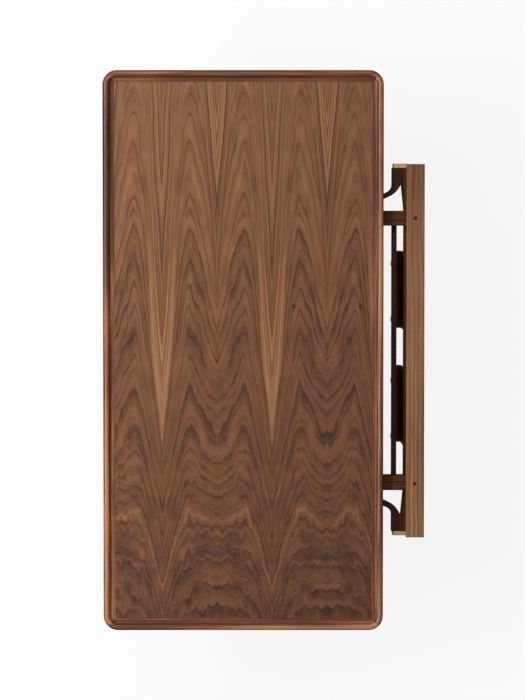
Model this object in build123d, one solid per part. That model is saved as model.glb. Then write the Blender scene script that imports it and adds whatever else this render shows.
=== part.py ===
from build123d import *
import math
import os

# A low walnut table stand for albums. A tray top with a raised lip stands on four splayed
# legs. Two bearers run across under the top and out past one long side, where they carry a
# flat rail and, slung beneath them, a slotted rack with leather slings for the album.
#
# Millimetres. Origin at the bottom centre of the whole object, +Z up. +X points across the
# top towards the rack, +Y along the top.

# ---- driving dimensions --------------------------------------------------------------
TRAY_WIDTH = 560.0
TRAY_LENGTH = 1120.0
OVERALL_WIDTH = 642.0
TOP_OF_LIP = 430.0
LIP_HEIGHT = 29.0
TRAY_CORNER_RADIUS = 29.0

RIM_WIDTH = 13.0
BORDER_WIDTH = 10.0
WELL_DEPTH = 10.0
RIM_ROUNDING = 6.3
COVE_RADIUS = 3.0
LIP_UNDER_CHAMFER = 1.5
TONGUE_DEPTH = 8.0
TONGUE_THICKNESS = 6.0

VENEER_THICKNESS = 0.6
LEAF_WIDTH = 110.0
LEAF_COUNT = 5
LEAF_SHIFT = 2.5

BEARER_SIZE = 30.0
BEARER_Y = 265.5
BEARER_INNER_END_X = -200.0

RAIL_WIDTH = 36.0
RAIL_THICKNESS = 22.0
RAIL_HALF_LENGTH = 373.5
RAIL_ROUNDING = 2.5
RAIL_SCREW_X = 302.5

BAR_THICKNESS = 10.0
BAR_HEIGHT = 28.0
SLOT_WIDTH = 14.0
INNER_BAR_X = 257.5
RACK_BLOCK_INNER_Y = 333.0
RACK_BLOCK_OUTER_Y = 366.5
BAR_FLARE = 5.2
BAR_FLARE_LENGTH = 52.0
CAP_THICKNESS = 8.5
CAP_WIDTH = 30.0
CAP_CORNER_RADIUS = 2.0
CAP_PIN_RADIUS = 1.5
CAP_PIN_LENGTH = 16.0
CAP_PIN_SPACING = 16.0

ARM_INNER_RADIUS = 16.5
ARM_ROOT_WIDTH = 18.0
ARM_MIDDLE_WIDTH = 12.0
ARM_WIDTH = 10.0
ARM_BEND_ANGLE = 65.0
ARM_STRAIGHT = 150.0

STRAP_WIDTH = 160.0
STRAP_THICKNESS = 3.0
STRAP_Y = 118.0
STRAP_LOWEST_Z = 212.0
STRAP_TOP_INSET = 5.0
POST_SPREAD = 56.0

END_RAIL_WIDTH = 64.0
END_RAIL_Y = 455.0
END_RAIL_END_GAP = 42.0

LEG_TOP_RADIUS = 21.0
LEG_FOOT_RADIUS = 12.0
LEG_INSET_X = 80.0
LEG_SPLAY = 38.0
GLIDE_HEIGHT = 6.0
GLIDE_RADIUS = 10.5
GLIDE_STEM_RADIUS = 3.0
GLIDE_STEM_LENGTH = 16.0

BOLT_RADIUS = 4.0
BOLT_CLEARANCE = 0.1
BOLT_IN_LEG = 30.0
BOLT_IN_RAIL = 23.0
BOLT_END_GAP = 1.0
SCREW_SHANK_RADIUS = 2.2
SCREW_HEAD_RADIUS = 3.8
SCREW_HEAD_HEIGHT = 2.6
SCREW_CLEARANCE = 0.1
SCREW_SLOT_DEPTH = 1.2
SCREW_SLOT_WIDTH = 1.0
POST_RADIUS = 2.5
POST_HEAD_RADIUS = 5.0
POST_HEAD_HEIGHT = 1.6
DOWEL_RADIUS = 3.0
DOWEL_LENGTH = 16.0
DOWEL_CLEARANCE = 0.05
EDGE_BREAK = 1.0

# ---- derived places ------------------------------------------------------------------
TRAY_LEFT = -OVERALL_WIDTH / 2
TRAY_RIGHT = TRAY_LEFT + TRAY_WIDTH
TRAY_CENTRE_X = (TRAY_LEFT + TRAY_RIGHT) / 2
UNDER_TRAY_Z = TOP_OF_LIP - LIP_HEIGHT
WELL_Z = TOP_OF_LIP - WELL_DEPTH
FIELD_INSET = RIM_WIDTH + BORDER_WIDTH
TONGUE_Z = (UNDER_TRAY_Z + WELL_Z) / 2
RAIL_RIGHT = OVERALL_WIDTH / 2
RAIL_LEFT = RAIL_RIGHT - RAIL_WIDTH
BEARER_Z = UNDER_TRAY_Z - BEARER_SIZE
BEARER_OUTER_END_X = RAIL_RIGHT - 6.0
RACK_Z = BEARER_Z - BAR_HEIGHT
SLOT_LEFT = INNER_BAR_X + BAR_THICKNESS
SLOT_RIGHT = SLOT_LEFT + SLOT_WIDTH
OUTER_BAR_RIGHT = SLOT_RIGHT + BAR_THICKNESS
RACK_CENTRE_X = (INNER_BAR_X + OUTER_BAR_RIGHT) / 2
SLOT_CENTRE_X = (SLOT_LEFT + SLOT_RIGHT) / 2
INNER_BAR_HALF_LENGTH = BEARER_Y + BEARER_SIZE / 2
ENDS = {"rear": 1, "front": -1}
SIDES = {"left": -1, "right": 1}


# ---- helpers ---------------------------------------------------------------------------
def block(x0, x1, y0, y1, z0, z1):
    """A box between two corners, given in either order in y."""
    low_y, high_y = min(y0, y1), max(y0, y1)
    middle = ((x0 + x1) / 2, (low_y + high_y) / 2, (z0 + z1) / 2)
    return Pos(*middle) * Box(x1 - x0, high_y - low_y, z1 - z0)


def rod(x, y, z0, z1, radius):
    """An upright round rod."""
    return Pos(x, y, (z0 + z1) / 2) * Cylinder(radius, z1 - z0)


def cross_rod(x0, x1, y, z, radius):
    """A round rod along X."""
    return Pos((x0 + x1) / 2, y, z) * Rot(0, 90, 0) * Cylinder(radius, x1 - x0)


def tray_slab(inset, z0, z1):
    """A slab of the tray's outline, moved in from its edge by inset."""
    outline = RectangleRounded(
        TRAY_WIDTH - 2 * inset,
        TRAY_LENGTH - 2 * inset,
        max(TRAY_CORNER_RADIUS - inset, 1.5),
    )
    return Pos(TRAY_CENTRE_X, 0, z0) * extrude(outline, z1 - z0)


def soften(solid, axis, radius):
    """Breaks the solid's edges that run along an axis."""
    return chamfer(solid.edges().filter_by(axis), radius)


def screw(x, y, head_z, length, up):
    """A slotted wood screw with a flat head. The head's outer face is at head_z."""
    way = 1 if up else -1
    head = rod(x, y, *sorted((head_z, head_z + way * SCREW_HEAD_HEIGHT)), SCREW_HEAD_RADIUS)
    shank = rod(x, y, *sorted((head_z, head_z + way * length)), SCREW_SHANK_RADIUS)
    slot = Box(2 * SCREW_HEAD_RADIUS + 1, SCREW_SLOT_WIDTH, SCREW_SLOT_DEPTH)
    slot = Pos(x, y, head_z + way * SCREW_SLOT_DEPTH / 2) * slot
    return head + shank - slot


def screw_bore(x, y, head_z, length, up, open_length):
    """The hole for that screw, with its head's bore open for open_length on the outside."""
    way = 1 if up else -1
    head_radius = SCREW_HEAD_RADIUS + SCREW_CLEARANCE
    head_span = sorted((head_z - way * open_length, head_z + way * SCREW_HEAD_HEIGHT))
    shank_span = sorted((head_z, head_z + way * (length + 1)))
    head = rod(x, y, *head_span, head_radius)
    return head + rod(x, y, *shank_span, SCREW_SHANK_RADIUS + SCREW_CLEARANCE)


# ---- fastener places --------------------------------------------------------------------
RAIL_SCREW_SUNK = 9.0
RAIL_SCREW_HEAD_Z = UNDER_TRAY_Z + RAIL_THICKNESS - RAIL_SCREW_SUNK
RAIL_SCREW_LENGTH = 32.0
RACK_SCREW_HEAD_Z = RACK_Z + 1.0
RACK_SCREW_LENGTH = 45.0
ARM_TURN = math.radians(ARM_BEND_ANGLE)
ARM_BEND_CENTRE_X = INNER_BAR_X - ARM_INNER_RADIUS
ARM_MIDLINE_RADIUS = ARM_INNER_RADIUS + ARM_WIDTH / 2
ARM_BEND_END_X = ARM_BEND_CENTRE_X + ARM_MIDLINE_RADIUS * math.cos(ARM_TURN)
ARM_BEND_END_Y = RACK_BLOCK_INNER_Y - ARM_MIDLINE_RADIUS * math.sin(ARM_TURN)
ARM_LAP_X = ARM_BEND_END_X - (ARM_BEND_END_Y - BEARER_Y) * math.tan(ARM_TURN)
TRAY_SCREW_LENGTH = 40.0
TRAY_SCREW_HEAD_Z = BEARER_Z + 1.0
POST_LOWER_Z = RACK_Z + 7.0
POST_UPPER_Z = BEARER_Z - 9.0

rail_screw_places = [(RAIL_SCREW_X, way * BEARER_Y) for way in (1, -1)]
rack_screw_places = [
    (x, way * BEARER_Y)
    for way in (1, -1)
    for x in (INNER_BAR_X + BAR_THICKNESS / 2, OUTER_BAR_RIGHT - BAR_THICKNESS / 2)
]
arm_screw_places = [(ARM_LAP_X, way * BEARER_Y) for way in (1, -1)]
bearer_screw_places = [(x, way * BEARER_Y) for way in (1, -1) for x in (-170.0, -40.0, 90.0)]
end_rail_screw_places = [
    (TRAY_CENTRE_X + side * distance, way * END_RAIL_Y)
    for way in (1, -1)
    for side in (1, -1)
    for distance in (90.0, 215.0)
]


def bores(places, head_z, length, up, open_length=30.0):
    return [screw_bore(x, y, head_z, length, up, open_length) for x, y in places]


# ---- tray top ---------------------------------------------------------------------------
def lip_frame():
    """The whole lip before it is mitred: a bullnosed rim, a flat border inside it, a tongue."""
    rim = tray_slab(0, UNDER_TRAY_Z, TOP_OF_LIP) - tray_slab(RIM_WIDTH, WELL_Z, TOP_OF_LIP)
    frame = rim - tray_slab(FIELD_INSET, UNDER_TRAY_Z, WELL_Z)
    top_edges = frame.edges().filter_by_position(Axis.Z, TOP_OF_LIP - 0.1, TOP_OF_LIP + 0.1)
    frame = fillet(top_edges, RIM_ROUNDING)
    frame = fillet(outline_edges(frame, RIM_WIDTH, WELL_Z), COVE_RADIUS)
    frame = chamfer(outline_edges(frame, 0, UNDER_TRAY_Z), LIP_UNDER_CHAMFER)
    tongue = tray_slab(FIELD_INSET, TONGUE_Z - TONGUE_THICKNESS / 2, TONGUE_Z + TONGUE_THICKNESS / 2)
    tongue -= tray_slab(
        FIELD_INSET + TONGUE_DEPTH, TONGUE_Z - TONGUE_THICKNESS / 2, TONGUE_Z + TONGUE_THICKNESS / 2
    )
    return frame + tongue


def outline_edges(solid, inset, z):
    """The closed run of edges at height z that follows the tray's outline, inset from its edge."""
    run = ShapeList()
    half_width = TRAY_WIDTH / 2 - inset
    half_length = TRAY_LENGTH / 2 - inset
    for edge in solid.edges().filter_by_position(Axis.Z, z - 0.1, z + 0.1):
        box = edge.bounding_box()
        reach_x = max(abs(box.min.X - TRAY_CENTRE_X), abs(box.max.X - TRAY_CENTRE_X))
        reach_y = max(abs(box.min.Y), abs(box.max.Y))
        if abs(reach_x - half_width) < 0.1 or abs(reach_y - half_length) < 0.1:
            run.append(edge)
    return run


def mitre_prism(points):
    outline = make_face(Polyline(*points, close=True))
    return Pos(0, 0, UNDER_TRAY_Z - 1) * extrude(outline, LIP_HEIGHT + 2)


def lip_pieces():
    """The four lip lengths, cut on the mitre lines that run in from the corners at 45 degrees."""
    frame = lip_frame()
    reach = 100.0
    left, right = TRAY_LEFT - 1, TRAY_RIGHT + 1
    rear = TRAY_LENGTH / 2 + 1
    cuts = {
        "lip_right": [
            (right, rear), (right - reach, rear - reach), (right - reach, reach - rear), (right, -rear)
        ],
        "lip_left": [
            (left, rear), (left + reach, rear - reach), (left + reach, reach - rear), (left, -rear)
        ],
        "lip_rear": [
            (right, rear), (right - reach, rear - reach), (left + reach, rear - reach), (left, rear)
        ],
        "lip_front": [
            (right, -rear), (right - reach, reach - rear), (left + reach, reach - rear), (left, -rear)
        ],
    }
    return {name: frame & mitre_prism(points) for name, points in cuts.items()}


def core_panel():
    """The stable core between the two veneers, grooved all round for the lip's tongue."""
    core = tray_slab(FIELD_INSET, UNDER_TRAY_Z + VENEER_THICKNESS, WELL_Z - VENEER_THICKNESS)
    half = TONGUE_THICKNESS / 2
    groove = tray_slab(FIELD_INSET - 1, TONGUE_Z - half, TONGUE_Z + half)
    groove -= tray_slab(FIELD_INSET + TONGUE_DEPTH, TONGUE_Z - half, TONGUE_Z + half)
    core -= groove
    core -= bores(bearer_screw_places, TRAY_SCREW_HEAD_Z, TRAY_SCREW_LENGTH, True)
    core -= bores(end_rail_screw_places, TRAY_SCREW_HEAD_Z, TRAY_SCREW_LENGTH, True)
    return core


def veneer_leaves():
    """Five leaves laid side by side, each the mirror of its neighbour, cut to the tray's field."""
    sheet = tray_slab(FIELD_INSET, WELL_Z - VENEER_THICKNESS, WELL_Z)
    first = TRAY_CENTRE_X + LEAF_SHIFT - LEAF_COUNT * LEAF_WIDTH / 2
    leaves = {}
    for number in range(LEAF_COUNT):
        start = first + number * LEAF_WIDTH
        strip = block(start, start + LEAF_WIDTH, -TRAY_LENGTH, TRAY_LENGTH, WELL_Z - 5, WELL_Z + 5)
        leaves[f"veneer_leaf_{number + 1}"] = sheet & strip
    return leaves


def backing_veneer():
    sheet = tray_slab(FIELD_INSET, UNDER_TRAY_Z, UNDER_TRAY_Z + VENEER_THICKNESS)
    sheet -= bores(bearer_screw_places, TRAY_SCREW_HEAD_Z, TRAY_SCREW_LENGTH, True)
    sheet -= bores(end_rail_screw_places, TRAY_SCREW_HEAD_Z, TRAY_SCREW_LENGTH, True)
    return sheet


# ---- bearers and legs -------------------------------------------------------------------
def bearer(way):
    """A square bearer under the top that runs out to carry the rail and the rack."""
    y = way * BEARER_Y
    half = BEARER_SIZE / 2
    piece = block(BEARER_INNER_END_X, BEARER_OUTER_END_X, y - half, y + half, BEARER_Z, UNDER_TRAY_Z)
    piece = soften(piece, Axis.X, EDGE_BREAK)
    places = [place for place in bearer_screw_places if place[1] == y]
    piece -= bores(places, TRAY_SCREW_HEAD_Z, TRAY_SCREW_LENGTH, True)
    piece -= bores([(RAIL_SCREW_X, y)], RAIL_SCREW_HEAD_Z, RAIL_SCREW_LENGTH, False)
    under = [place for place in rack_screw_places + arm_screw_places if place[1] == y]
    piece -= bores(under, RACK_SCREW_HEAD_Z, RACK_SCREW_LENGTH, True)
    return piece


def end_rail(way):
    """A cross rail under each end of the top, which takes the leg bolts."""
    y = way * END_RAIL_Y
    half = END_RAIL_WIDTH / 2
    left, right = TRAY_LEFT + END_RAIL_END_GAP, TRAY_RIGHT - END_RAIL_END_GAP
    piece = block(left, right, y - half, y + half, BEARER_Z, UNDER_TRAY_Z)
    piece = soften(piece, Axis.X, EDGE_BREAK)
    places = [place for place in end_rail_screw_places if place[1] == y]
    piece -= bores(places, TRAY_SCREW_HEAD_Z, TRAY_SCREW_LENGTH, True)
    for side in SIDES.values():
        x = leg_top(side, way)[0]
        piece -= rod(x, y, BEARER_Z - 1, BEARER_Z + BOLT_IN_RAIL + BOLT_END_GAP, BOLT_RADIUS + BOLT_CLEARANCE)
    return piece


def leg_top(side, way):
    inset = TRAY_WIDTH / 2 - LEG_INSET_X
    return TRAY_CENTRE_X + side * inset, way * END_RAIL_Y


def leg_foot(side, way):
    x, y = leg_top(side, way)
    return x + side * LEG_SPLAY, y + way * LEG_SPLAY


def leg(side, way):
    """A round leg that tapers and leans outwards, with flat ends."""
    x, y = leg_top(side, way)
    foot_x, foot_y = leg_foot(side, way)
    foot = Pos(foot_x, foot_y, GLIDE_HEIGHT) * Circle(LEG_FOOT_RADIUS)
    top = Pos(x, y, BEARER_Z) * Circle(LEG_TOP_RADIUS)
    piece = loft(Sketch() + [foot, top])
    piece -= rod(x, y, BEARER_Z - BOLT_IN_LEG - BOLT_END_GAP, BEARER_Z + 1, BOLT_RADIUS + BOLT_CLEARANCE)
    stem_top = GLIDE_HEIGHT + GLIDE_STEM_LENGTH + 1
    piece -= rod(foot_x, foot_y, GLIDE_HEIGHT - 1, stem_top, GLIDE_STEM_RADIUS)
    return piece


def leg_bolts():
    """One hanger bolt per leg, half in the end rail and half in the leg."""
    bolts = []
    for side in SIDES.values():
        for way in ENDS.values():
            x, y = leg_top(side, way)
            bolts.append(rod(x, y, BEARER_Z - BOLT_IN_LEG, BEARER_Z + BOLT_IN_RAIL, BOLT_RADIUS))
    return Compound(children=bolts)


def leg_glides():
    """A round nylon glide with a stem, pressed into the foot of each leg."""
    glides = []
    for side in SIDES.values():
        for way in ENDS.values():
            x, y = leg_foot(side, way)
            pad = rod(x, y, 0, GLIDE_HEIGHT, GLIDE_RADIUS)
            pad = fillet(pad.edges().sort_by(Axis.Z)[0], 2.0)
            stem = rod(x, y, GLIDE_HEIGHT, GLIDE_HEIGHT + GLIDE_STEM_LENGTH, GLIDE_STEM_RADIUS)
            glides.append(pad + stem)
    return Compound(children=glides)


# ---- side rail and rack ------------------------------------------------------------------
def side_rail():
    """The flat rail laid along the bearers' outer ends, screwed down through two deep bores."""
    top = UNDER_TRAY_Z + RAIL_THICKNESS
    piece = block(RAIL_LEFT, RAIL_RIGHT, -RAIL_HALF_LENGTH, RAIL_HALF_LENGTH, UNDER_TRAY_Z, top)
    piece = fillet(piece.edges().filter_by(Axis.Y), RAIL_ROUNDING)
    return piece - bores(rail_screw_places, RAIL_SCREW_HEAD_Z, RAIL_SCREW_LENGTH, False)


def strap_rebate(x0, x1, way):
    """The shallow housing that a strap's end lies in, open at the bar's lower edge."""
    half = STRAP_WIDTH / 2
    y = way * STRAP_Y
    return block(x0, x1, y - half, y + half, RACK_Z - 1, BEARER_Z - STRAP_TOP_INSET)


def post_places(way):
    """Where a strap end's two binding posts pass, across and up."""
    middle_z = (POST_LOWER_Z + POST_UPPER_Z) / 2
    return [(way * STRAP_Y + offset, middle_z) for offset in (-POST_SPREAD, POST_SPREAD)]


def rack_inner_bar():
    """The bar on the tray's side of the slot, from bearer to bearer."""
    piece = block(
        INNER_BAR_X, SLOT_LEFT, -INNER_BAR_HALF_LENGTH, INNER_BAR_HALF_LENGTH, RACK_Z, BEARER_Z
    )
    piece = soften(piece, Axis.Y, EDGE_BREAK)
    for way in ENDS.values():
        piece -= strap_rebate(SLOT_LEFT - STRAP_THICKNESS, SLOT_LEFT + 1, way)
        for y, z in post_places(way):
            piece -= cross_rod(INNER_BAR_X - 1, SLOT_LEFT + 1, y, z, POST_RADIUS)
    return piece - bores(rack_screw_places, RACK_SCREW_HEAD_Z, RACK_SCREW_LENGTH, True)


def rack_outer_bar():
    """The bar under the rail, which runs the rack's full length and thickens towards its ends."""
    end, start = RACK_BLOCK_INNER_Y, RACK_BLOCK_INNER_Y - BAR_FLARE_LENGTH
    outline = Polyline(
        (OUTER_BAR_RIGHT, end),
        (SLOT_RIGHT - BAR_FLARE, end),
        (SLOT_RIGHT, start),
        (SLOT_RIGHT, -start),
        (SLOT_RIGHT - BAR_FLARE, -end),
        (OUTER_BAR_RIGHT, -end),
        close=True,
    )
    piece = Pos(0, 0, RACK_Z) * extrude(make_face(outline), BAR_HEIGHT)
    for way in ENDS.values():
        piece -= strap_rebate(SLOT_RIGHT - 1, SLOT_RIGHT + STRAP_THICKNESS, way)
        piece -= block_dowel(OUTER_BAR_RIGHT - BAR_THICKNESS / 2, way, DOWEL_CLEARANCE)
        for y, z in post_places(way):
            piece -= cross_rod(SLOT_RIGHT - 1, OUTER_BAR_RIGHT + 1, y, z, POST_RADIUS)
    return piece - bores(rack_screw_places, RACK_SCREW_HEAD_Z, RACK_SCREW_LENGTH, True)


def block_dowel(x, way, clearance=0.0):
    """A dowel along Y across the joint between an end block and what meets it."""
    middle = way * RACK_BLOCK_INNER_Y
    z = RACK_Z + BAR_HEIGHT / 2
    return Pos(x, middle, z) * Rot(90, 0, 0) * Cylinder(DOWEL_RADIUS + clearance, DOWEL_LENGTH + clearance)


def rack_block(way):
    """The block that closes the rack at one end and joins the outer bar to the curved arm."""
    piece = block(
        INNER_BAR_X,
        OUTER_BAR_RIGHT,
        way * RACK_BLOCK_INNER_Y,
        way * RACK_BLOCK_OUTER_Y,
        RACK_Z,
        BEARER_Z,
    )
    piece = soften(piece, Axis.Y, EDGE_BREAK)
    for x in dowel_columns():
        piece -= block_dowel(x, way, DOWEL_CLEARANCE)
    y, head_y = way * (RACK_BLOCK_OUTER_Y - CAP_PIN_LENGTH - 2), way * RACK_BLOCK_OUTER_Y
    for x in cap_pin_columns():
        piece -= cap_pin(x, y, head_y, DOWEL_CLEARANCE)
    return piece


def dowel_columns():
    return INNER_BAR_X + 7.0, OUTER_BAR_RIGHT - BAR_THICKNESS / 2


def cap_pin_columns():
    return RACK_CENTRE_X - CAP_PIN_SPACING / 2, RACK_CENTRE_X + CAP_PIN_SPACING / 2


def cap_pin(x, y0, y1, clearance=0.0):
    length = abs(y1 - y0)
    place = Pos(x, (y0 + y1) / 2, RACK_Z + BAR_HEIGHT / 2)
    return place * Rot(90, 0, 0) * Cylinder(CAP_PIN_RADIUS + clearance, length)


def end_cap(way):
    """The brass cap on the rack's end, with two pins cast into its back."""
    inner, outer = way * RACK_BLOCK_OUTER_Y, way * (RACK_BLOCK_OUTER_Y + CAP_THICKNESS)
    half = CAP_WIDTH / 2
    piece = block(
        RACK_CENTRE_X - half, RACK_CENTRE_X + half, inner, outer, RACK_Z + 1, BEARER_Z - 1
    )
    piece = fillet(piece.edges().filter_by(Axis.Y), CAP_CORNER_RADIUS)
    outer_rim = piece.edges().filter_by_position(Axis.Y, outer - 0.1, outer + 0.1)
    piece = chamfer(outer_rim, EDGE_BREAK)
    for x in cap_pin_columns():
        piece += cap_pin(x, inner - way * CAP_PIN_LENGTH, inner)
    return piece


def curved_arm(way):
    """The arm that leaves the end block, tapers as it bends in, and laps under the bearer."""
    turn = ARM_TURN
    along = (-math.sin(turn), -math.cos(turn))

    def on_bend(width, angle):
        radius = ARM_INNER_RADIUS + width
        x = ARM_BEND_CENTRE_X + radius * math.cos(angle)
        return x, RACK_BLOCK_INNER_Y - radius * math.sin(angle)

    def after(point):
        return point[0] + ARM_STRAIGHT * along[0], point[1] + ARM_STRAIGHT * along[1]

    inner_end, outer_end = on_bend(0, turn), on_bend(ARM_WIDTH, turn)
    outer_start = on_bend(ARM_ROOT_WIDTH, 0)
    edges = [
        ThreePointArc(on_bend(0, 0), on_bend(0, turn / 2), inner_end),
        Line(inner_end, after(inner_end)),
        Line(after(inner_end), after(outer_end)),
        Line(after(outer_end), outer_end),
        ThreePointArc(outer_end, on_bend(ARM_MIDDLE_WIDTH, turn / 2), outer_start),
        Line(outer_start, on_bend(0, 0)),
    ]
    piece = Pos(0, 0, RACK_Z) * extrude(make_face(edges), BAR_HEIGHT)
    lap_end = BEARER_Y - BEARER_SIZE / 2 + 3.0
    piece &= block(0, OVERALL_WIDTH, lap_end, RACK_BLOCK_INNER_Y, RACK_Z, BEARER_Z)
    if way < 0:
        piece = mirror(piece, Plane.XZ)
    piece -= block_dowel(dowel_columns()[0], way, DOWEL_CLEARANCE)
    places = [place for place in arm_screw_places if place[1] * way > 0]
    return piece - bores(places, RACK_SCREW_HEAD_Z, RACK_SCREW_LENGTH, True)


def strap(way):
    """A leather sling: both ends in the bars' housings, hanging in a U below the slot."""
    outer_half = SLOT_WIDTH / 2 + STRAP_THICKNESS
    inner_half = SLOT_WIDTH / 2
    top = BEARER_Z - STRAP_TOP_INSET
    turn_z = STRAP_LOWEST_Z + outer_half
    left, right = SLOT_CENTRE_X - outer_half, SLOT_CENTRE_X + outer_half
    inner_left, inner_right = SLOT_CENTRE_X - inner_half, SLOT_CENTRE_X + inner_half
    outline = [
        Line((left, top), (left, turn_z)),
        ThreePointArc((left, turn_z), (SLOT_CENTRE_X, STRAP_LOWEST_Z), (right, turn_z)),
        Line((right, turn_z), (right, top)),
        Line((right, top), (inner_right, top)),
        Line((inner_right, top), (inner_right, turn_z)),
        ThreePointArc(
            (inner_right, turn_z), (SLOT_CENTRE_X, turn_z - inner_half), (inner_left, turn_z)
        ),
        Line((inner_left, turn_z), (inner_left, top)),
        Line((inner_left, top), (left, top)),
    ]
    face = Plane.XZ * make_face(outline)
    piece = Pos(0, way * STRAP_Y + STRAP_WIDTH / 2, 0) * extrude(face, STRAP_WIDTH)
    for y, z in post_places(way):
        piece -= cross_rod(left - 1, right + 1, y, z, POST_RADIUS)
    return piece


def binding_posts():
    """Brass posts through bar and strap: a round head outside and a flat one on the leather."""
    posts = []
    faces = [(INNER_BAR_X, SLOT_LEFT, -1), (OUTER_BAR_RIGHT, SLOT_RIGHT, 1)]
    for outer_face, slot_face, side in faces:
        for way in ENDS.values():
            for y, z in post_places(way):
                shank = cross_rod(*sorted((outer_face, slot_face)), y, z, POST_RADIUS)
                head_far = outer_face + side * POST_HEAD_HEIGHT
                head = cross_rod(*sorted((outer_face, head_far)), y, z, POST_HEAD_RADIUS)
                rim = head.edges().filter_by_position(Axis.X, head_far - 0.1, head_far + 0.1)
                head = fillet(rim, 0.8)
                posts.append(head + shank)
    return Compound(children=posts)


def rack_dowels():
    return Compound(children=[block_dowel(x, way) for way in ENDS.values() for x in dowel_columns()])


def screw_group(places, head_z, length, up):
    return Compound(children=[screw(x, y, head_z, length, up) for x, y in places])


# ---- the whole ---------------------------------------------------------------------------
def all_parts():
    parts = lip_pieces()
    parts["core_panel"] = core_panel()
    parts.update(veneer_leaves())
    parts["backing_veneer"] = backing_veneer()
    for end, way in ENDS.items():
        parts[f"bearer_{end}"] = bearer(way)
        parts[f"end_rail_{end}"] = end_rail(way)
        parts[f"rack_block_{end}"] = rack_block(way)
        parts[f"curved_arm_{end}"] = curved_arm(way)
        parts[f"end_cap_{end}"] = end_cap(way)
        parts[f"leather_strap_{end}"] = strap(way)
        for side, across in SIDES.items():
            parts[f"leg_{end}_{side}"] = leg(across, way)
    parts["leg_bolts"] = leg_bolts()
    parts["leg_glides"] = leg_glides()
    parts["side_rail"] = side_rail()
    parts["rack_inner_bar"] = rack_inner_bar()
    parts["rack_outer_bar"] = rack_outer_bar()
    parts["binding_posts"] = binding_posts()
    parts["rack_dowels"] = rack_dowels()
    parts["rail_screws"] = screw_group(rail_screw_places, RAIL_SCREW_HEAD_Z, RAIL_SCREW_LENGTH, False)
    parts["rack_screws"] = screw_group(rack_screw_places, RACK_SCREW_HEAD_Z, RACK_SCREW_LENGTH, True)
    parts["arm_screws"] = screw_group(arm_screw_places, RACK_SCREW_HEAD_Z, RACK_SCREW_LENGTH, True)
    top_places = bearer_screw_places + end_rail_screw_places
    parts["top_screws"] = screw_group(top_places, TRAY_SCREW_HEAD_Z, TRAY_SCREW_LENGTH, True)
    return parts


os.makedirs("parts", exist_ok=True)
for node, shape in all_parts().items():
    export_step(shape, f"parts/{node}.step")
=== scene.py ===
import math

import bmesh
import bpy
from mathutils import Matrix, Vector


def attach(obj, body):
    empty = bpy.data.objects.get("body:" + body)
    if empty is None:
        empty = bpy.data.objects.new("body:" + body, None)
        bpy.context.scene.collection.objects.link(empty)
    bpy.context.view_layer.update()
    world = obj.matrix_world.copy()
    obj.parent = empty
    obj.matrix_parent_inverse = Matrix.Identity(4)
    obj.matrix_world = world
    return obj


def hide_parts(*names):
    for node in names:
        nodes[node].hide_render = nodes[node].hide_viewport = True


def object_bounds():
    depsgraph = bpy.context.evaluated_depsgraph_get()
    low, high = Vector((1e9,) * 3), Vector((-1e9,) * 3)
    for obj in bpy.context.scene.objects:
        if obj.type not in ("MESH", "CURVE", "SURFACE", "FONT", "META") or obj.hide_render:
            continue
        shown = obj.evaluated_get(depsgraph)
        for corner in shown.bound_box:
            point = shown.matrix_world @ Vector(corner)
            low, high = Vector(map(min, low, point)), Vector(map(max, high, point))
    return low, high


# The looks of a low walnut album stand: bookmatched veneer in a solid lip, a side rail, and a
# dark slotted rack with stitched leather slings. Metres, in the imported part's frame.

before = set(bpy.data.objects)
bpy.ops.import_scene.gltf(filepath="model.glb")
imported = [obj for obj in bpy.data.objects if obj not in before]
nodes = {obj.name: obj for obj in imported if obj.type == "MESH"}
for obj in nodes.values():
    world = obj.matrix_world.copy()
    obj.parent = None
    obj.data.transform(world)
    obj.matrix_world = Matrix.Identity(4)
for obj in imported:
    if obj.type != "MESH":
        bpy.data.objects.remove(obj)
cad_low, cad_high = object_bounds()


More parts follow.
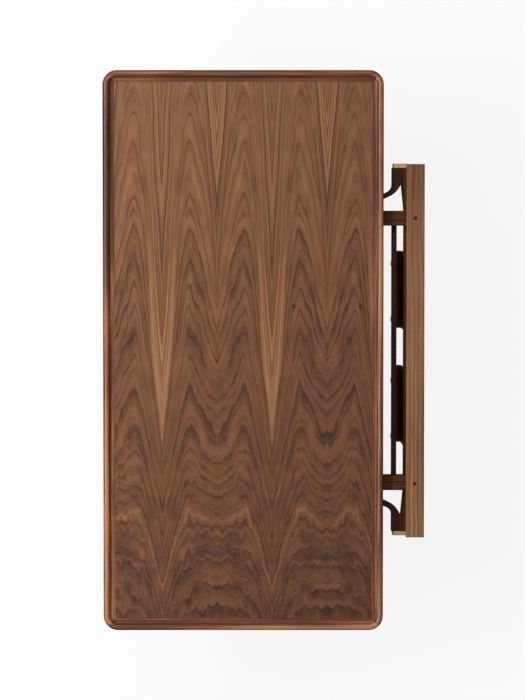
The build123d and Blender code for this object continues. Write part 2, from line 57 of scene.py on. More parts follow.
# ---- node trees ----------------------------------------------------------------------------
class Tree:
    """A material's node tree, with a short call for each kind of node used here.

    The values that the calls take are outputs of other nodes, or constants.
    """

    def __init__(self, name):
        self.material = bpy.data.materials.new(name)
        self.material.use_nodes = True
        self.tree = self.material.node_tree
        self.tree.nodes.clear()
        self.shader = self.tree.nodes.new("ShaderNodeBsdfPrincipled")
        output = self.tree.nodes.new("ShaderNodeOutputMaterial")
        self.tree.links.new(self.shader.outputs["BSDF"], output.inputs["Surface"])
        place = self.tree.nodes.new("ShaderNodeTexCoord")
        self.position = place.outputs["Object"]

    def put(self, socket, value):
        """Links an output to a socket, or sets the socket to a constant."""
        if isinstance(value, bpy.types.NodeSocket):
            self.tree.links.new(value, socket)
        else:
            socket.default_value = value

    def set(self, **inputs):
        """Sets the shader's inputs, written with _ for a space."""
        for name, value in inputs.items():
            self.put(self.shader.inputs[name.replace("_", " ")], value)

    def math(self, operation, a, b=0.0):
        node = self.tree.nodes.new("ShaderNodeMath")
        node.operation = operation
        self.put(node.inputs[0], a)
        self.put(node.inputs[1], b)
        return node.outputs[0]

    def add(self, *values):
        total = values[0]
        for value in values[1:]:
            total = self.math("ADD", total, value)
        return total

    def minus(self, a, b):
        return self.math("SUBTRACT", a, b)

    def times(self, a, b):
        return self.math("MULTIPLY", a, b)

    def power(self, a, b):
        return self.math("POWER", a, b)

    def absolute(self, a):
        return self.math("ABSOLUTE", a)

    def weighted(self, *pairs):
        """The sum of (value, weight) pairs."""
        return self.add(*(self.times(value, weight) for value, weight in pairs))

    def split(self, vector):
        node = self.tree.nodes.new("ShaderNodeSeparateXYZ")
        self.put(node.inputs[0], vector)
        return node.outputs[0], node.outputs[1], node.outputs[2]

    def join(self, x, y, z):
        node = self.tree.nodes.new("ShaderNodeCombineXYZ")
        for socket, value in zip(node.inputs, (x, y, z)):
            self.put(socket, value)
        return node.outputs[0]

    def noise(self, vector, scale=1.0, detail=2.0, roughness=0.5):
        """Smooth noise centred on 0, about -0.5 to 0.5."""
        node = self.tree.nodes.new("ShaderNodeTexNoise")
        self.put(node.inputs["Vector"], vector)
        node.inputs["Scale"].default_value = scale
        node.inputs["Detail"].default_value = detail
        node.inputs["Roughness"].default_value = roughness
        return self.minus(node.outputs["Fac"], 0.5)

    def noise_over(self, *measures, detail=2.0, roughness=0.5):
        """Noise over three measures: each is (value, size of its features) or a constant, a seed."""
        place = []
        for measure in measures:
            if isinstance(measure, tuple):
                value, size = measure
                place.append(self.times(value, 1 / size))
            else:
                place.append(measure)
        return self.noise(self.join(*place), 1.0, detail, roughness)

    def fit(self, value, low, high, to_low=0.0, to_high=1.0, smooth=False):
        """Carries low..high to to_low..to_high, and holds the end values outside it."""
        node = self.tree.nodes.new("ShaderNodeMapRange")
        node.interpolation_type = "SMOOTHSTEP" if smooth else "LINEAR"
        self.put(node.inputs["Value"], value)
        for name, number in (("From Min", low), ("From Max", high), ("To Min", to_low), ("To Max", to_high)):
            node.inputs[name].default_value = number
        return node.outputs["Result"]

    def ramp(self, value, stops):
        """Colour along a value from 0 to 1. Stops are (place, colour or grey)."""
        node = self.tree.nodes.new("ShaderNodeValToRGB")
        elements = node.color_ramp.elements
        while len(elements) < len(stops):
            elements.new(1.0)
        for element, (place, colour) in zip(elements, stops):
            element.position = place
            grey = isinstance(colour, (int, float))
            element.color = (colour, colour, colour, 1) if grey else (*colour, 1)
        self.put(node.inputs["Fac"], value)
        return node.outputs["Color"]

    def mix(self, amount, a, b):
        """A colour between two constant colours."""
        node = self.tree.nodes.new("ShaderNodeMix")
        node.data_type = "RGBA"
        self.put(node.inputs["Factor"], amount)
        colours = [socket for socket in node.inputs if socket.type == "RGBA"]
        for socket, colour in zip(colours, (a, b)):
            socket.default_value = (*colour, 1)
        return [socket for socket in node.outputs if socket.type == "RGBA"][0]

    def voronoi(self, vector, scale):
        """Cells: 0 in the middle of each, about 1 where they meet."""
        node = self.tree.nodes.new("ShaderNodeTexVoronoi")
        self.put(node.inputs["Vector"], vector)
        node.inputs["Scale"].default_value = scale
        return node.outputs["Distance"]

    def bevel(self, radius):
        """A normal that rounds sharp edges by this radius."""
        node = self.tree.nodes.new("ShaderNodeBevel")
        node.samples = 4
        node.inputs["Radius"].default_value = radius
        return node.outputs["Normal"]

    def bump(self, height, strength, distance, normal=None):
        """A normal bumped by a height, on top of another normal if there is one."""
        node = self.tree.nodes.new("ShaderNodeBump")
        if normal:
            self.put(node.inputs["Normal"], normal)
        node.inputs["Strength"].default_value = strength
        node.inputs["Distance"].default_value = distance
        self.put(node.inputs["Height"], height)
        return node.outputs["Normal"]


def node_box(name):
    """Lowest and highest corner of a CAD node."""
    corners = [nodes[name].matrix_world @ Vector(corner) for corner in nodes[name].bound_box]
    low = Vector(min(c[i] for c in corners) for i in range(3))
    high = Vector(max(c[i] for c in corners) for i in range(3))
    return low, high


def srgb(red, green, blue):
    """A display colour, 0 to 255, as the linear colour that a shader takes."""
    out = []
    for channel in (red, green, blue):
        c = channel / 255
        out.append(c / 12.92 if c <= 0.04045 else ((c + 0.055) / 1.055) ** 2.4)
    return tuple(out)


# ---- veneer: its measures and drawn lines ----------------------------------------------------
# Each leaf is the mirror of its neighbour, so the figure is drawn once, from one seam to the
# next, and folded over the whole field. The first seam from the left and every second one after
# it are of kind A, the others of kind B. Distances are millimetres on the wood, and those along
# the grain start at the far end. A tone runs from 0, palest, to 1, darkest.
MM = 1000.0
LEFT_EDGE = node_box("veneer_leaf_1")[0].x * MM
FIRST_SEAM = node_box("veneer_leaf_1")[1].x * MM
RIGHT_EDGE = node_box("veneer_leaf_5")[1].x * MM
LEAF = (node_box("veneer_leaf_3")[1].x - node_box("veneer_leaf_3")[0].x) * MM
FAR_EDGE = node_box("veneer_leaf_3")[1].y * MM
LENGTH = FAR_EDGE - node_box("veneer_leaf_3")[0].y * MM

# Growth lines down the middle of a leaf: (distance from the far end, darkness, fade below it).
# Each row is short enough for one colour ramp.
ARCHES = [
    [(63, 0.32, 14), (120, 0.22, 12), (167, -0.16, 40), (222, 0.34, 14), (262, -0.12, 20)],
    [(288, 0.44, 26), (344, 0.42, 50), (404, 0.36, 18), (446, 0.28, 14), (492, 0.34, 44)],
    [(545, 0.30, 14), (575, 0.26, 12), (608, 0.46, 44), (689, 0.38, 26), (760, 0.32, 14), (796, 0.34, 14)],
    [(830, 0.34, 9), (857, -0.24, 9), (876, 0.42, 12), (896, 0.32, 16), (936, 0.42, 18)],
    [(961, 0.42, 22), (1015, 0.56, 26), (1054, 0.52, 28)],
]
ARCH_EDGE = 4.0
# The arches are steep-sided before this stretch of the leaf and round after it.
STEEP_TO_ROUND = (480, 760)
# The curves by which an arch drops from the middle of its leaf to a seam: three powers, and
# for the round side towards B a smooth step that is done by this share of the way.
STEEP_POWER_A = 1.55
STEEP_POWER_B = 1.4
ROUND_POWER_A = 1.9
ROUND_STEP_B = 0.85
# How far an arch has dropped where it meets a seam, as stretches of the leaf that add up: (from,
# to, drop up to there, drop from there on).
DROP_AT_A = [(560, 860, 500, 225), (860, LENGTH, 0, -75)]
DROP_AT_B = [(300, 560, 80, 0), (480, 650, 98, 0), (700, 950, 86, -8)]
# How far the arches stray: in long swings, in narrow peaks, and in a ripple near the near end,
# which grows to its full height over a stretch of the leaf.
WANDER = 62.0
PEAKS = 24.0
RIPPLE = -62.0
RIPPLE_GROWS = (760, 930)
# How far a seam strays from a straight line, and how far the lines along it stray.
SEAM_STRAY = 6.0
SEAM_WANDER = 26.0

# Lines that close in a V on the two kinds of seam: (where the V's tip is, darkness, fade).
SEAM_A_LINES = [(60, 0.28, 34), (198, 0.40, 34), (262, -0.20, 50), (360, 0.36, 40), (440, 0.20, 30),
                (505, 0.24, 26), (576, 0.20, 26), (640, 0.16, 20), (752, 0.42, 40)]
SEAM_B_LINES = [(50, 0.30, 30), (104, 0.34, 36), (168, 0.24, 26), (250, 0.50, 40), (308, 0.26, 30),
                (398, 0.34, 44)]
SEAM_EDGE = 14.0

# The pin knots: distance from a seam of kind A, distance along, radius, and length over width.
KNOT_FROM_A = 43.0
KNOT_ALONG = 448.0
KNOT_RADIUS = 3.2
KNOT_STRETCH = 1.5

# Shades from the palest to the darkest, evenly spaced, and the tone of veneer with no figure.
VENEER_TONES = [(170, 126, 82), (142, 97, 64), (112, 70, 42), (84, 51, 32), (57, 33, 23)]
PLAIN_VENEER = 0.487


# ---- veneer: its figure ----------------------------------------------------------------------
class Leaf:
    """Where a point of the veneer lies: in the field, and from the nearest seam of each kind."""

    def __init__(self, t):
        x, y, z = t.split(t.position)
        self.along = t.minus(FAR_EDGE, t.times(y, MM))
        self.across = t.times(x, MM)
        stray = t.noise_over((self.across, 90), (self.along, 170), 0.0, detail=1)
        pairs = t.times(t.minus(self.across, FIRST_SEAM), 1 / (2 * LEAF))
        folded = t.absolute(t.minus(pairs, t.math("ROUND", pairs)))
        self.from_a = t.math("MAXIMUM", t.weighted((folded, 2 * LEAF), (stray, SEAM_STRAY)), 0.0)
        self.from_b = t.minus(LEAF, self.from_a)
        # A measure that changes so slowly that noise over it differs a little from leaf to leaf.
        self.drift = (self.across, 400)
        self.wander = t.noise_over((self.from_a, 24), (self.along, 110), self.drift)


def line_tones(t, level, lines, edge):
    """Tone along a stretch of growth lines: a sharp edge above each line, a soft fade below."""
    start = lines[0][0] - 2 * edge
    stop = lines[-1][0] + lines[-1][2] + edge
    rest = 0.5
    stops = [(0.0, rest)]
    for place, depth, fade in lines:
        for offset, tone in ((-edge, rest), (0, rest + depth), (fade, rest)):
            at = (place + offset - start) / (stop - start)
            if stops[-1][0] < at < 1:
                stops.append((at, tone))
    return t.minus(t.ramp(t.fit(level, start, stop), stops), rest)


def arch_level(t, leaf):
    """The growth line through a point, given as where it crosses the middle of its leaf."""
    steep_share = t.fit(leaf.along, *STEEP_TO_ROUND, 1, 0, smooth=True)
    round_share = t.minus(1.0, steep_share)
    near_a = t.fit(leaf.from_a, LEAF / 2, 0)
    near_b = t.fit(leaf.from_b, LEAF / 2, 0)
    level = leaf.along
    for stretches, steep, rounded in (
        (DROP_AT_A, t.power(near_a, STEEP_POWER_A), t.power(near_a, ROUND_POWER_A)),
        (DROP_AT_B, t.power(near_b, STEEP_POWER_B), t.fit(near_b, 0.0, ROUND_STEP_B, smooth=True)),
    ):
        drop = t.add(*(t.fit(leaf.along, *stretch) for stretch in stretches))
        curve = t.weighted((steep, steep_share), (rounded, round_share))
        level = t.minus(level, t.times(curve, drop))

    peaks = t.noise_over((leaf.from_a, 12), (leaf.along, 150), leaf.drift, detail=1)
    ripple = t.absolute(t.noise_over((leaf.from_a, 21), (leaf.along, 45), leaf.drift))
    rippled = t.fit(leaf.along, *RIPPLE_GROWS, smooth=True)
    jag = t.weighted((peaks, PEAKS), (t.times(ripple, rippled), RIPPLE))
    off_seam = t.fit(leaf.from_a, 8, 34, 0.25, 1, smooth=True)
    return t.add(level, t.times(leaf.wander, WANDER), t.times(jag, off_seam))


def arch_tone(t, leaf):
    """The arches of a leaf: the drawn lines, uneven in strength, and finer ones between them."""
    level = arch_level(t, leaf)
    drawn = t.add(*(line_tones(t, level, stretch, ARCH_EDGE) for stretch in ARCHES))
    strength = t.noise_over((leaf.from_a, 22), (leaf.along, 45), (leaf.across, 250), detail=1)
    drawn = t.times(drawn, t.fit(strength, -0.25, 0.25, 0.25, 1.1))
    fine = t.noise_over((level, 15), 0.0, (leaf.from_a, 200), detail=4, roughness=0.65)
    broad = t.noise_over((level, 90), 3.0, (leaf.from_a, 60), detail=1)
    blotch = t.noise_over((leaf.from_a, 30), (leaf.along, 60), 5.0)
    veins = t.absolute(t.noise_over((level, 30), 9.0, (leaf.from_a, 260), roughness=0.6))
    veins = t.times(t.fit(veins, 0.0, 0.05, 1, 0), t.fit(blotch, -0.2, 0.2, 0.0, 0.30))
    return t.add(drawn, t.weighted((fine, 0.36), (broad, 0.20), (blotch, 0.24)), veins)


def seam_over(t, leaf, tone, distance, width, slope, lines, pale_band, pale_depth, end, seed):
    """Lays close straight lines over a tone, which run into a V along one kind of seam.

    They reach a width from the seam, and end over a stretch of it. The pale band is where they
    start to grow pale, are palest, start to darken, and are dark again.
    """
    run = t.add(leaf.along, t.weighted((distance, slope), (leaf.wander, SEAM_WANDER)))
    close = t.noise_over((run, 52), seed, (leaf.along, 900), detail=3, roughness=0.7)
    veins = t.fit(t.absolute(t.add(close, 0.02)), 0.0, 0.06, 0.20, 0)
    pale_from, palest_from, palest_to, pale_to = pale_band
    pale = t.times(t.fit(run, pale_from, palest_from, 0, 1, smooth=True),
                   t.fit(run, palest_to, pale_to, 1, 0, smooth=True))
    drawn = line_tones(t, run, lines, SEAM_EDGE)
    seam = t.add(drawn, t.weighted((close, 0.9), (pale, pale_depth)), veins, -0.04)
    mask = t.times(t.fit(distance, width * 0.55, width, 1, 0, smooth=True),
                   t.fit(run, *end, 1, 0, smooth=True))
    return t.weighted((tone, t.minus(1.0, mask)), (seam, mask))


def seams_over(t, leaf, tone):
    """Lays the Vs of both kinds of seam over a tone. Those on kind A open out down the leaf."""
    slope_a = t.fit(leaf.along, 60, 560, 18, 9)
    pale_a = t.fit(leaf.along, 350, 540, -0.10, -0.22)
    tone = seam_over(t, leaf, tone, leaf.from_a, width=34.0, slope=slope_a, lines=SEAM_A_LINES,
                     pale_band=(400, 620, 716, 750), pale_depth=pale_a, end=(705, 785), seed=7.0)
    return seam_over(t, leaf, tone, leaf.from_b, width=31.0, slope=12.0, lines=SEAM_B_LINES,
                     pale_band=(-60, 130, 232, 252), pale_depth=-0.17, end=(330, 520), seed=11.0)


def fan_tone(t, leaf):
    """Fine lines that fan out of the near end of each seam of kind A."""
    run = t.add(leaf.along, t.weighted((leaf.from_a, 4.0), (leaf.wander, 20.0)))
    lines = t.noise_over((run, 16), 5.0, 0.0)
    mask = t.times(t.fit(leaf.from_a, 16, 40, 1, 0, smooth=True), t.fit(leaf.along, 660, 800))
    return t.times(lines, mask)


def knot_tone(t, leaf):
    """A pair of pin knots in the right-hand half, mirrored in its seam of kind B."""
    x = t.times(t.minus(leaf.from_a, KNOT_FROM_A), 1 / KNOT_RADIUS)
    y = t.times(t.minus(leaf.along, KNOT_ALONG), 1 / (KNOT_STRETCH * KNOT_RADIUS))
    distance = t.add(t.power(x, 2.0), t.power(y, 2.0))
    right_half = t.math("GREATER_THAN", leaf.across, 0.0)
    return t.times(t.fit(distance, 0.2, 2.0, 0.45, 0, smooth=True), right_half)


def veneer():
    """Bookmatched walnut leaves under a satin finish."""
    t = Tree("walnut_veneer")
    leaf = Leaf(t)
    tone = seams_over(t, leaf, arch_tone(t, leaf))
    fibre = t.noise_over((leaf.across, 1.3), (leaf.along, 70), 0.0, detail=3, roughness=0.6)
    cross = t.noise_over((leaf.from_a, 34), (leaf.along, 13), 2.0)
    cross = t.times(cross, t.fit(leaf.along, 640, 860, 0.05, 0.22))
    # Painted light and shade: the veneer is paler at the far end and the left, darker towards the near end
    # and the right.
    painted_shade_nearer = t.fit(leaf.along, 0, LENGTH, -0.10, 0.08)
    painted_shade_rightwards = t.fit(leaf.across, LEFT_EDGE, RIGHT_EDGE, -0.05, 0.05)
    tone = t.add(tone, t.weighted((fan_tone(t, leaf), 0.75), (fibre, 0.40)), knot_tone(t, leaf),
                 cross, painted_shade_nearer, painted_shade_rightwards, PLAIN_VENEER)
    last = len(VENEER_TONES) - 1
    colour = t.ramp(tone, [(step / last, srgb(*shade)) for step, shade in enumerate(VENEER_TONES)])
    pores = t.noise_over((leaf.across, 0.35), (leaf.along, 9), 0.0, roughness=0.7)
    t.set(Base_Color=colour, Roughness=t.fit(fibre, -0.5, 0.5, 0.42, 0.56),
          Specular_IOR_Level=0.28, Normal=t.bump(pores, 0.25, 0.0002))
    return t.material


# ---- solid wood ------------------------------------------------------------------------------
# Shades from the palest to the darkest. TONE_STEPS is where each lies in the tone, and
# PLAIN_WOOD is the tone of wood with no figure.
LIP_TONES = [(176, 120, 80), (112, 61, 34), (78, 40, 22), (46, 23, 12)]
RAIL_TONES = [(166, 122, 86), (134, 91, 60), (106, 68, 43), (76, 46, 30)]
# Bearers: a darker, redder stain, darker again as painted shade from the tray above them.
BEARER_STAIN_AND_SHADE_TONES = [(120, 68, 35), (86, 47, 23), (59, 30, 13), (35, 17, 8)]
LEG_TONES = [(122, 74, 45), (92, 52, 30), (68, 37, 21), (42, 22, 13)]
# Rack: the bearers' stain, darker still as painted shade from the rail and tray above it.
RACK_STAIN_AND_SHADE_TONES = [(104, 62, 36), (79, 44, 24), (57, 30, 15), (34, 18, 10)]
BEECH_TONES = [(206, 172, 132), (194, 158, 118), (176, 138, 98), (150, 112, 78)]
TONE_STEPS = (0.0, 0.35, 0.7, 1.0)
PLAIN_WOOD = 0.45
# Features in a metre, across the grain and along it.
BENDS = (9, 3.2)
PATCHES = (22, 4)
FIBRES = (800, 14)
PORES = (2400, 90)
RINGS_ALONG = 1.5
# How far the rings bend, the rounding of the wood's edges, and how far down the lip's ridge the painted
# highlight reaches.
RING_BEND = 0.016
WOOD_EDGE = 0.0012
RIDGE_HIGHLIGHT_DEPTH = 0.0015

# The lip's last entry is a painted highlight that pales its ridge.
LIP_FINISH = {"roughness": 0.30, "shine": 0.42, "contrast": 1.5, "ridge_highlight": 0.26}
# Each wood: the grain's axis, shades, the pith's place across the grain, finish, and how the
# names of its nodes start.
WOODS = {
    "walnut_lip_long": ("Y", LIP_TONES, (0.6, 0.36), LIP_FINISH, ("lip_left", "lip_right")),
    "walnut_lip_short": ("X", LIP_TONES, (0.9, 0.36), LIP_FINISH, ("lip_front", "lip_rear")),
    "walnut_rail": ("Y", RAIL_TONES, (0.42, 0.3), {"ring": 0.003, "roughness": 0.42, "contrast": 1.2},
                    ("side_rail",)),
    "walnut_bearer": ("X", BEARER_STAIN_AND_SHADE_TONES, (0.5, 0.3), {"roughness": 0.55, "shine": 0.12, "contrast": 1.6},
                      ("bearer",)),
    "walnut_end_rail": ("X", LEG_TONES, (0.5, 0.3), {"roughness": 0.5, "shine": 0.2}, ("end_rail",)),
    "walnut_rack": ("Y", RACK_STAIN_AND_SHADE_TONES, (0.35, 0.3), {"roughness": 0.48, "shine": 0.12, "contrast": 1.4},
                    ("rack_inner", "rack_outer", "rack_block", "curved_arm")),
    "walnut_leg": ("Z", LEG_TONES, (0.5, 0.9), {"roughness": 0.5, "shine": 0.25}, ("leg_front", "leg_rear")),
    "walnut_backing": ("Y", LIP_TONES, (0.1, 1.6), {"roughness": 0.6}, ("backing",)),
    "beech": ("X", BEECH_TONES, (0.5, 0.3), {"roughness": 0.6}, ("rack_dowels",)),
}


def grain_noise(t, axes, rates, detail=2.0, roughness=0.5):
    """Noise drawn out along the grain."""
    side, along, up = axes
    rate_across, rate_along = rates
    place = t.join(t.times(side, rate_across), t.times(along, rate_along), t.times(up, rate_across))
    return t.noise(place, 1.0, detail, roughness)


def solid_wood(name, grain, tones, pith, ring=0.0045, roughness=0.45, shine=0.3, contrast=1.0, ridge_highlight=0.0):
    """Wood sawn from a board: growth rings round a distant pith, fibres, pores, rounded edges.

    A ring is a growth ring's width. The last argument paints a highlight: the wood grows paler
    towards the stand's highest point, along the lip's ridge.
    """
    t = Tree(name)
    x, y, z = t.split(t.position)
    side, along, up = {"X": (y, x, z), "Y": (x, y, z), "Z": (x, z, y)}[grain]
    axes = (side, along, up)
    pith_side, pith_up = pith
    squares = t.add(t.power(t.minus(side, pith_side), 2.0), t.power(t.minus(up, pith_up), 2.0))
    radius = t.add(t.math("SQRT", squares), t.times(grain_noise(t, axes, BENDS), RING_BEND))
    rings = t.noise(t.join(t.times(radius, 1 / ring), 0.0, t.times(along, RINGS_ALONG)), 1.0, 3, 0.6)
    fibre = grain_noise(t, axes, FIBRES, 3, 0.6)
    patch = grain_noise(t, axes, PATCHES)
    pores = t.fit(grain_noise(t, axes, PORES, 1), 0.12, 0.22)
    tone = t.weighted((rings, 1.2), (fibre, 0.45), (patch, 0.7), (pores, 0.16))
    # Painted highlight: the wood grows paler up to the lip's ridge, the stand's highest point.
    painted_ridge_highlight = t.fit(z, cad_high.z - RIDGE_HIGHLIGHT_DEPTH, cad_high.z, 0, -ridge_highlight)
    tone = t.add(t.times(tone, contrast), painted_ridge_highlight, PLAIN_WOOD)
    colour = t.ramp(tone, [(step, srgb(*shade)) for step, shade in zip(TONE_STEPS, tones)])
    relief = t.add(pores, t.times(fibre, 0.4))
    t.set(Base_Color=colour, Roughness=t.fit(fibre, -0.4, 0.4, roughness - 0.06, roughness + 0.08),
          Specular_IOR_Level=shine, Normal=t.bump(relief, 0.2, -0.00012, t.bevel(WOOD_EDGE)))
    return t.material


# ---- leather, metal and the rest -------------------------------------------------------------
strap_low, strap_high = node_box("leather_strap_rear")
STRAP_WIDTH = strap_high.y - strap_low.y
STRAP_MIDDLE_Y = (strap_high.y + strap_low.y) / 2
# How far in from the strap's edge the burnishing starts, and from where it is full.
BURNISH_STARTS = 0.0022
BURNISH_FULL = 0.0006
# Scratches in a metre along X, Y and Z, how much they change the roughness, and the edges' rounding.
SCRATCHES = (900, 60, 900)
SCRATCHED = 0.06
METAL_EDGE = 0.0006


def metal(name, colour, roughness):
    """Brushed metal with faint scratches and an uneven, handled finish."""
    t = Tree(name)
    axes = t.split(t.position)
    place = t.join(*(t.times(axis, rate) for axis, rate in zip(axes, SCRATCHES)))
    scratches = t.noise(place, 1.0, 3, 0.7)
    cloud = t.noise(t.position, 60, 3, 0.6)
    dull = tuple(c * 0.72 for c in colour)
    bright = t.fit(t.add(cloud, t.times(scratches, 0.6)), -0.3, 0.3)
    t.set(Base_Color=t.mix(bright, dull, colour), Metallic=1.0,
          Roughness=t.fit(t.add(scratches, cloud), -0.5, 0.5, roughness - SCRATCHED, roughness + SCRATCHED),
          Normal=t.bump(scratches, 0.12, 0.0001, t.bevel(METAL_EDGE)))
    return t.material


def leather():
    """Vegetable-tanned saddle leather: fine pebble, creases, rubbed patches, burnished edges."""
    t = Tree("saddle_leather")
    x, y, z = t.split(t.position)
    from_middle = t.absolute(t.minus(t.absolute(y), STRAP_MIDDLE_Y))
    half = STRAP_WIDTH / 2
    burnish = t.fit(from_middle, half - BURNISH_STARTS, half - BURNISH_FULL, smooth=True)
    pebble = t.voronoi(t.position, 900)
    crease = t.noise(t.position, 160, 4, 0.6)
    patch = t.noise(t.position, 14, 3, 0.6)
    tone = t.add(t.weighted((patch, 0.9), (crease, 0.35), (pebble, -0.25), (burnish, 0.5)), 0.55)
    colour = t.ramp(tone, [(0.0, srgb(142, 84, 46)), (0.5, srgb(112, 62, 34)), (1.0, srgb(66, 34, 20))])
    t.set(Base_Color=colour, Roughness=t.fit(patch, -0.4, 0.4, 0.42, 0.6), Specular_IOR_Level=0.4,
          Normal=t.bump(t.add(t.times(pebble, 0.6), crease), 0.35, 0.0003))
    return t.material


def thread():
    """Waxed linen thread, twisted along its run."""
    t = Tree("linen_thread")
    x, y, z = t.split(t.position)
    twist = t.math("SINE", t.times(t.add(x, y, z), 5200))
    wax = t.noise(t.position, 90, 2)
    tone = t.add(t.times(twist, 0.3), wax, 0.5)
    colour = t.ramp(tone, [(0.0, srgb(118, 84, 52)), (1.0, srgb(206, 178, 136))])
    t.set(Base_Color=colour, Roughness=0.5, Normal=t.bump(twist, 0.3, 0.0001))
    return t.material


def nylon():
    """Moulded black nylon, finely grained and scuffed."""
    t = Tree("black_nylon")
    grainy = t.noise(t.position, 1800, 2)
    scuff = t.noise(t.position, 120, 3)
    t.set(Base_Color=t.mix(t.fit(scuff, -0.1, 0.4), srgb(24, 24, 25), srgb(52, 51, 50)),
          Roughness=t.fit(scuff, -0.3, 0.3, 0.45, 0.65), Normal=t.bump(grainy, 0.2, 0.0001))
    return t.material


def core_board():
    """Cut edge and faces of the particle core, hardly seen once the tray is together."""
    t = Tree("core_board")
    chips = t.voronoi(t.position, 420)
    specks = t.noise(t.position, 700, 3)
    tone = t.add(t.weighted((chips, 0.6), (specks, 0.5)), 0.2)
    colour = t.ramp(tone, [(0.0, srgb(196, 164, 122)), (0.5, srgb(172, 137, 96)), (1.0, srgb(128, 95, 62))])
    t.set(Base_Color=colour, Roughness=0.85, Normal=t.bump(tone, 0.4, 0.0004))
    return t.material


def paint(material, *starts):
    """Gives a material to every CAD node whose name starts with one of these."""
    for node_name in nodes:
        if node_name.startswith(starts):
            nodes[node_name].material_slots[0].material = material


paint(veneer(), "veneer_leaf")
for wood, (grain, tones, pith, finish, starts) in WOODS.items():
    paint(solid_wood(wood, grain, tones, pith, **finish), *starts)
paint(core_board(), "core_panel")
paint(metal("satin_brass", srgb(238, 204, 152), 0.42), "end_cap", "binding_posts")
paint(metal("bronzed_steel", srgb(142, 96, 66), 0.4), "rail_screws")
paint(metal("zinc_steel", srgb(176, 178, 180), 0.35), "arm_screws", "leg_bolts", "rack_screws", "top_screws")
paint(nylon(), "leg_glides")


# ---- leather slings ------------------------------------------------------------------------
# The leather is a little thinner than its CAD strap, and narrower by this gap at each edge.
STRAP_THICKNESS = 0.0028
STRAP_GAP = 0.0002
STRAP_ROUNDING = 0.0013
STRAP_BULGE = 0.0016
FACE_STEPS = 12
STITCH_INSET = 0.0045
STITCH_PITCH = 0.0052
STITCH_LENGTH = 0.0038
STITCH_RADIUS = 0.00042
STITCH_LEAN = 0.12
LEG_RINGS = 18
TURN_RINGS = 18


def add_mesh(name, bm, material):
    """Turns a bmesh into a smooth-shaded piece that rides on the stand."""
    mesh = bpy.data.meshes.new(name)
    bm.to_mesh(mesh)
    bm.free()
    piece = bpy.data.objects.new(name, mesh)
    bpy.context.scene.collection.objects.link(piece)
    mesh.materials.append(material)
    for polygon in mesh.polygons:
        polygon.use_smooth = True
    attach(piece, "root")
    return piece


def share(value, start, stop):
    """How far a value is from start to stop, 0 to 1."""
    return min(1.0, max(0.0, (value - start) / (stop - start)))


def slack(fraction, across, seed):
    """How far the leather stands off its flat run: it bellies below the bars and waves a little."""
    belly = math.sin(math.pi * share(min(fraction, 1 - fraction), 0.08, 0.5))
    free = math.sin(math.pi * share(fraction, 0.1, 0.9))
    wave = math.sin(7.0 * fraction + 2.3 * across + seed) + 0.6 * math.sin(13.0 * fraction - 3.1 * across)
    return STRAP_BULGE * (0.7 * belly + 0.25 * free * wave)


class Sling:
    """Where one sling runs, as its CAD strap does: down one side, round a turn and up the other.

    A fraction, 0 to 1, is a place along the run.
    """

    def __init__(self, low, high, seed):
        self.seed = seed
        self.middle = (low + high) / 2
        self.top = high.z
        self.radius = (high.x - low.x - STRAP_THICKNESS) / 2
        self.turn_z = low.z + STRAP_THICKNESS / 2 + self.radius
        self.straight = self.top - self.turn_z
        self.length = 2 * self.straight + math.pi * self.radius

    def at(self, fraction, across, through):
        """The point this far across the strap and out from its middle layer, and which way is out."""
        run = fraction * self.length
        to_end = self.length - run
        if run < self.straight:
            angle, height = math.pi, self.top - run
        elif to_end < self.straight:
            angle, height = 0.0, self.top - to_end
        else:
            angle = math.pi + (run - self.straight) / self.radius
            height = self.turn_z + self.radius * math.sin(angle)
        outward = Vector((math.cos(angle), 0, math.sin(angle)))
        point = Vector((self.middle.x + self.radius * outward.x, self.middle.y + across, height))
        stand = slack(fraction, across / STRAP_WIDTH, self.seed)
        return point + outward * (through + stand), outward

    def rings(self):
        """The fractions of the mesh's rings, closer together round the turn."""
        straight = self.straight / self.length
        places = [straight * step / LEG_RINGS for step in range(LEG_RINGS)]
        places += [straight + (1 - 2 * straight) * step / TURN_RINGS for step in range(TURN_RINGS)]
        places += [1 - straight + straight * step / LEG_RINGS for step in range(LEG_RINGS + 1)]
        return places


def strap_section():
    """The strap's cross-section, anticlockwise: (across, through), thin with rounded edges."""
    inner_across = STRAP_WIDTH / 2 - STRAP_GAP - STRAP_ROUNDING
    inner_through = STRAP_THICKNESS / 2 - STRAP_ROUNDING
    face = [inner_across * (2 * step / FACE_STEPS - 1) for step in range(1, FACE_STEPS)]
    section = []
    for sign_across, sign_through, start in ((1, 1, 0), (-1, 1, 90), (-1, -1, 180), (1, -1, 270)):
        for step in range(4):
            angle = math.radians(start + 30 * step)
            section.append((sign_across * inner_across + STRAP_ROUNDING * math.cos(angle),
                            sign_through * inner_through + STRAP_ROUNDING * math.sin(angle)))
        if start == 0:
            section += [(across, STRAP_THICKNESS / 2) for across in reversed(face)]
        if start == 180:
            section += [(across, -STRAP_THICKNESS / 2) for across in face]
    return section


def strap_mesh(sling):
    """The strap: its cross-section carried along the run, and closed at both ends."""
    section = strap_section()
    count = len(section)
    bm = bmesh.new()
    rings = []
    for fraction in sling.rings():
        rings.append([bm.verts.new(sling.at(fraction, across, through)[0]) for across, through in section])
    for near, far in zip(rings, rings[1:]):
        for index in range(count):
            after = (index + 1) % count
            bm.faces.new((near[index], near[after], far[after], far[index]))
    bm.faces.new(list(reversed(rings[0])))
    bm.faces.new(rings[-1])
    bmesh.ops.recalc_face_normals(bm, faces=bm.faces)
    return bm


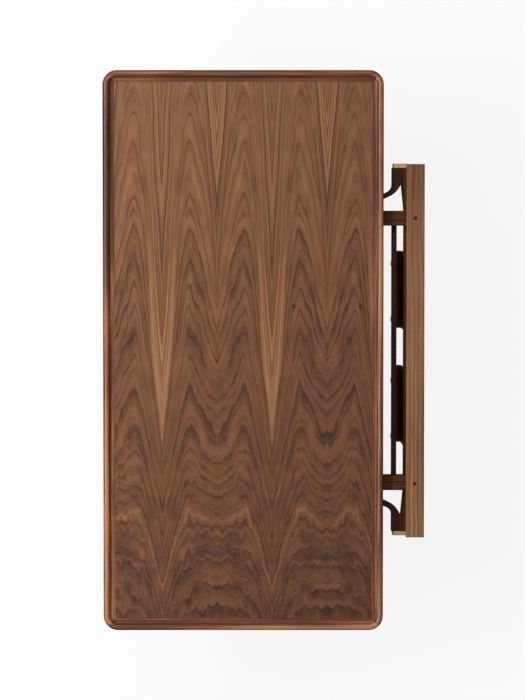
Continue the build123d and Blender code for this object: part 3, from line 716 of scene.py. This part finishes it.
def stitch_mesh(sling):
    """A row of saddle stitches near each edge of the strap's outer face."""
    bm = bmesh.new()
    size = Matrix.Diagonal((STITCH_RADIUS, STITCH_RADIUS, STITCH_LENGTH / 2, 1))
    number = int(sling.length / STITCH_PITCH)
    for row in (-1, 1):
        across = row * (STRAP_WIDTH / 2 - STITCH_INSET)
        for index in range(number):
            centre, outward = sling.at((index + 0.5) / number, across, STRAP_THICKNESS / 2)
            run = outward.cross(Vector((0, 1, 0)))
            turn = Vector((0, 0, 1)).rotation_difference(run).to_matrix().to_4x4()
            lean = Matrix.Rotation(row * STITCH_LEAN, 4, outward)
            matrix = Matrix.Translation(centre) @ lean @ turn @ size
            bmesh.ops.create_uvsphere(bm, u_segments=8, v_segments=6, radius=1, matrix=matrix)
    return bm


saddle_leather = leather()
linen_thread = thread()
for end, seed in (("rear", 0.4), ("front", 2.1)):
    sling = Sling(*node_box(f"leather_strap_{end}"), seed)
    strap = add_mesh(f"sling_{end}", strap_mesh(sling), saddle_leather)
    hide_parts(f"leather_strap_{end}")
    add_mesh(f"sling_stitches_{end}", stitch_mesh(sling), linen_thread)


# ---- floor, light, camera --------------------------------------------------------------------
FLOOR_SIZE = 24
FLOOR_GLOW = 0.85
FLOOR_ALBEDO = 0.15
BACKDROP_RADIUS = 11.9
BACKDROP_GLOW = 0.93
SKY_BELOW = 0.10
SKY_LEVEL = 0.32
SKY_ABOVE = 0.46
# The two lights: place, watts, colour.
SOFTBOXES = {
    "left_softbox": ((-1.9, 0.2, 3.0), 78, (1.0, 0.985, 0.96)),
    "far_softbox": ((-0.2, 1.6, 3.4), 22, (1.0, 1.0, 1.0)),
}
SOFTBOX_SIZE = (3.0, 0.5)
CAMERA_DISTANCE = 6.0
CAMERA_TILT = math.radians(2.8)
# The point of the top that the camera looks at, and how much of its plane the picture is high.
CAMERA_TARGET = (-0.0025, 0.0030)
VIEW_HEIGHT = 1.3968
SENSOR = 36.0


def make_floor():
    """A white sweep that glows a little, as paper lit from below does, so shadows stay faint.

    It lights nothing, so the glow doesn't wash out the object's shaded sides.
    """
    bpy.ops.mesh.primitive_plane_add(size=FLOOR_SIZE)
    floor = bpy.context.object
    floor.name = "floor"
    t = Tree("floor_paper")
    t.set(Base_Color=(FLOOR_ALBEDO, FLOOR_ALBEDO, FLOOR_ALBEDO, 1), Roughness=0.9,
          Emission_Color=(1, 1, 1, 1), Emission_Strength=FLOOR_GLOW, Specular_IOR_Level=0.1)
    floor.data.materials.append(t.material)
    floor.visible_diffuse = False
    floor.visible_glossy = False


def make_backdrop():
    """A pale dome far outside, so every view has the same plain background. It lights nothing."""
    bpy.ops.mesh.primitive_uv_sphere_add(radius=BACKDROP_RADIUS, segments=48, ring_count=24)
    dome = bpy.context.object
    dome.name = "backdrop"
    t = Tree("backdrop_paper")
    t.set(Base_Color=(0, 0, 0, 1), Emission_Color=(1, 1, 1, 1), Emission_Strength=BACKDROP_GLOW,
          Specular_IOR_Level=0.0)
    dome.data.materials.append(t.material)
    dome.visible_diffuse = False
    dome.visible_glossy = False
    dome.visible_shadow = False


def make_sky():
    """A low light from all round, brightest above and dim below the floor's level."""
    world = bpy.data.worlds.new("studio")
    world.use_nodes = True
    tree = world.node_tree
    background = tree.nodes["Background"]
    background.inputs["Color"].default_value = (1, 1, 1, 1)
    place = tree.nodes.new("ShaderNodeTexCoord")
    split = tree.nodes.new("ShaderNodeSeparateXYZ")
    tree.links.new(place.outputs["Generated"], split.inputs[0])
    total = tree.nodes.new("ShaderNodeMath")
    # Two parts that add up: (height from, height to, strength below, strength above).
    round_level = (-0.2, 0.1, SKY_BELOW, SKY_LEVEL)
    high_up = (0.3, 1.0, 0, SKY_ABOVE - SKY_LEVEL)
    for socket, numbers in zip(total.inputs, (round_level, high_up)):
        fade = tree.nodes.new("ShaderNodeMapRange")
        tree.links.new(split.outputs["Z"], fade.inputs["Value"])
        for name, number in zip(("From Min", "From Max", "To Min", "To Max"), numbers):
            fade.inputs[name].default_value = number
        tree.links.new(fade.outputs["Result"], socket)
    tree.links.new(total.outputs[0], background.inputs["Strength"])
    bpy.context.scene.world = world


def make_softbox(name, place, watts, colour):
    """A long soft light, level, that faces the table top."""
    data = bpy.data.lights.new(name, "AREA")
    data.shape = "RECTANGLE"
    data.size, data.size_y = SOFTBOX_SIZE
    data.energy = watts
    data.color = colour
    lamp = bpy.data.objects.new(name, data)
    bpy.context.scene.collection.objects.link(lamp)
    lamp.location = place
    aim = Vector((0, 0, cad_high.z)) - Vector(place)
    lamp.rotation_euler = aim.to_track_quat("-Z", "Y").to_euler()
    lamp.visible_camera = False


def make_camera():
    """Almost straight above the top, a little towards its far end."""
    data = bpy.data.cameras.new("camera")
    data.sensor_width = SENSOR
    data.lens = SENSOR * CAMERA_DISTANCE / VIEW_HEIGHT
    data.clip_end = 100
    camera = bpy.data.objects.new("camera", data)
    bpy.context.scene.collection.objects.link(camera)
    target = Vector((*CAMERA_TARGET, cad_high.z))
    away = Vector((0, math.sin(CAMERA_TILT), math.cos(CAMERA_TILT)))
    camera.location = target + away * CAMERA_DISTANCE
    camera.rotation_euler = (-CAMERA_TILT, 0, 0)
    bpy.context.scene.camera = camera


make_floor()
make_backdrop()
make_sky()
make_camera()
for name, (place, watts, colour) in SOFTBOXES.items():
    make_softbox(name, place, watts, colour)
bpy.context.scene.view_settings.view_transform = "Standard"
